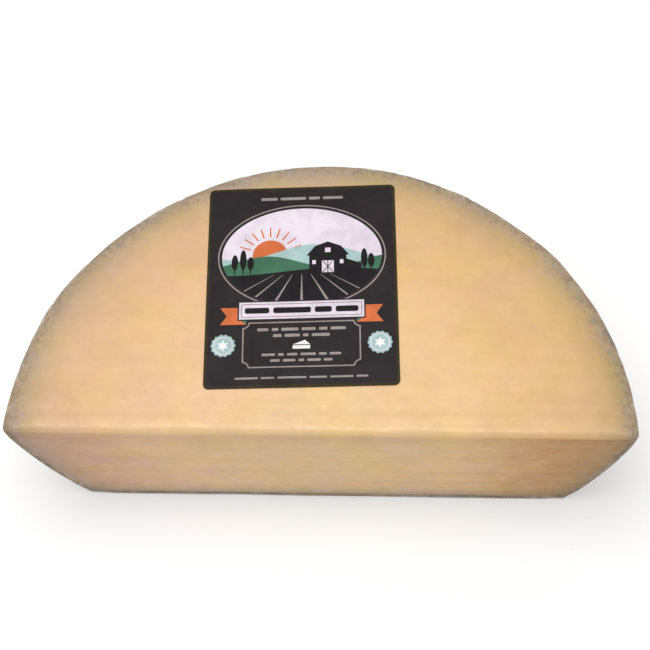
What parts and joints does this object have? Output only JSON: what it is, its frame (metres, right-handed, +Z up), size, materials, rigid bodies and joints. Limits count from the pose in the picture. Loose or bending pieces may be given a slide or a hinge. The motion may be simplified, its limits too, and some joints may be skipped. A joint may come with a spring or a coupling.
{
  "type": "cheddar half wheel",
  "caption": "Half a wheel of cheddar resting on its smaller flat face, with a straight cut side, a round rim that draws in towards the bottom and a thin card label on its wide top face.",
  "frame": {"origin": "on the surface that the cheese rests on, under the middle of the half wheel's bounding box", "axes": "+X along the straight cut, towards the right tip as the cut is faced; +Y from the cut towards the round rim, so the cut faces -Y; +Z up, out of the labelled top face"},
  "size_m": [0.3238, 0.1621, 0.0932],
  "materials": {
    "cheese": null,
    "label": null
  },
  "bodies": {
    "root": {"cheese": "cheese", "label": "label"}
  },
  "joints": []
}
